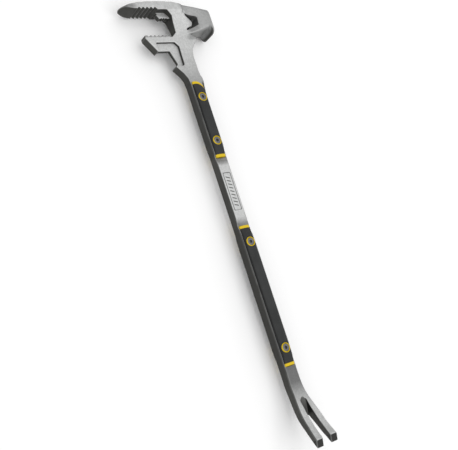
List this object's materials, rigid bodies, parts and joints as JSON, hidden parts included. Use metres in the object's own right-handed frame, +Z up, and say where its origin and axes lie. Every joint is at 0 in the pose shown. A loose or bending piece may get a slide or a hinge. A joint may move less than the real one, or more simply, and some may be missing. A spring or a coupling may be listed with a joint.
{
  "type": "forcible entry bar",
  "caption": "One-piece forged steel entry and wrecking bar with a toothed board jaw, a hammer poll, bolted rubber grips with coloured end bands, and a curved nail claw.",
  "frame": {"origin": "centre of the bounding box's footprint, on the plane the tool lies on", "axes": "+X runs down the bar from the head to the claw tips, +Y points the way the hammer poll strikes, +Z is up out of the front face"},
  "size_m": [0.762, 0.165, 0.062],
  "materials": {
    "forged_steel": "satin, fine blasted",
    "grip_rubber": "matte moulded",
    "yellow_plastic": "satin moulded",
    "screw_steel": "dark plated"
  },
  "bodies": {
    "root": {"forged_bar": "forged_steel", "head_grip_front": "grip_rubber", "head_grip_back": "grip_rubber", "claw_grip_front": "grip_rubber", "claw_grip_back": "grip_rubber", "band_1_front": "yellow_plastic", "band_1_back": "yellow_plastic", "band_2_front": "yellow_plastic", "band_2_back": "yellow_plastic", "band_3_front": "yellow_plastic", "band_3_back": "yellow_plastic", "band_4_front": "yellow_plastic", "band_4_back": "yellow_plastic", "ring_1_front": "yellow_plastic", "ring_1_back": "yellow_plastic", "ring_2_front": "yellow_plastic", "ring_2_back": "yellow_plastic", "ring_3_front": "yellow_plastic", "ring_3_back": "yellow_plastic", "ring_4_front": "yellow_plastic", "ring_4_back": "yellow_plastic", "screw_1": "screw_steel", "screw_2": "screw_steel", "screw_3": "screw_steel", "screw_4": "screw_steel", "sleeve_nut_1": "screw_steel", "sleeve_nut_2": "screw_steel", "sleeve_nut_3": "screw_steel", "sleeve_nut_4": "screw_steel"}
  },
  "joints": []
}
